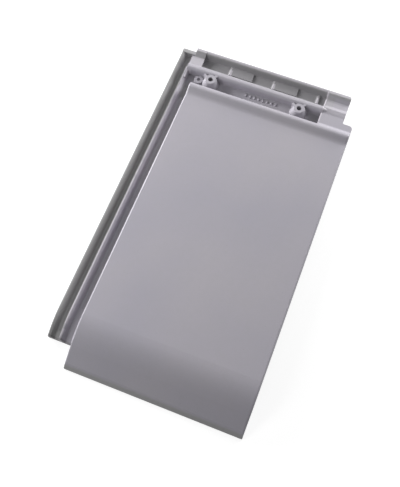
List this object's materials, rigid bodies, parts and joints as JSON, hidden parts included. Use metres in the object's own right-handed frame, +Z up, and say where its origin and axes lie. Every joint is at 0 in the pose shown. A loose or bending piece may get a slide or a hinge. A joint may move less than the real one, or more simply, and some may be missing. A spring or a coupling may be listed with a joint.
{
  "type": "interlocking clay roof tile",
  "caption": "Flat interlocking clay roof tile with a double side lock, double head troughs, screw bosses and a turned-down nose.",
  "frame": {"origin": "middle of the box around the tile, at the floor that it lies on", "axes": "+X across the tile to its cover edge, +Y up the roof to the head, +Z up from the weather face"},
  "size_m": [0.2694, 0.4924, 0.0324],
  "materials": {
    "fired_clay": "satin grey engobe on fired clay"
  },
  "bodies": {
    "root": {"roof_tile": "fired_clay"}
  },
  "joints": []
}
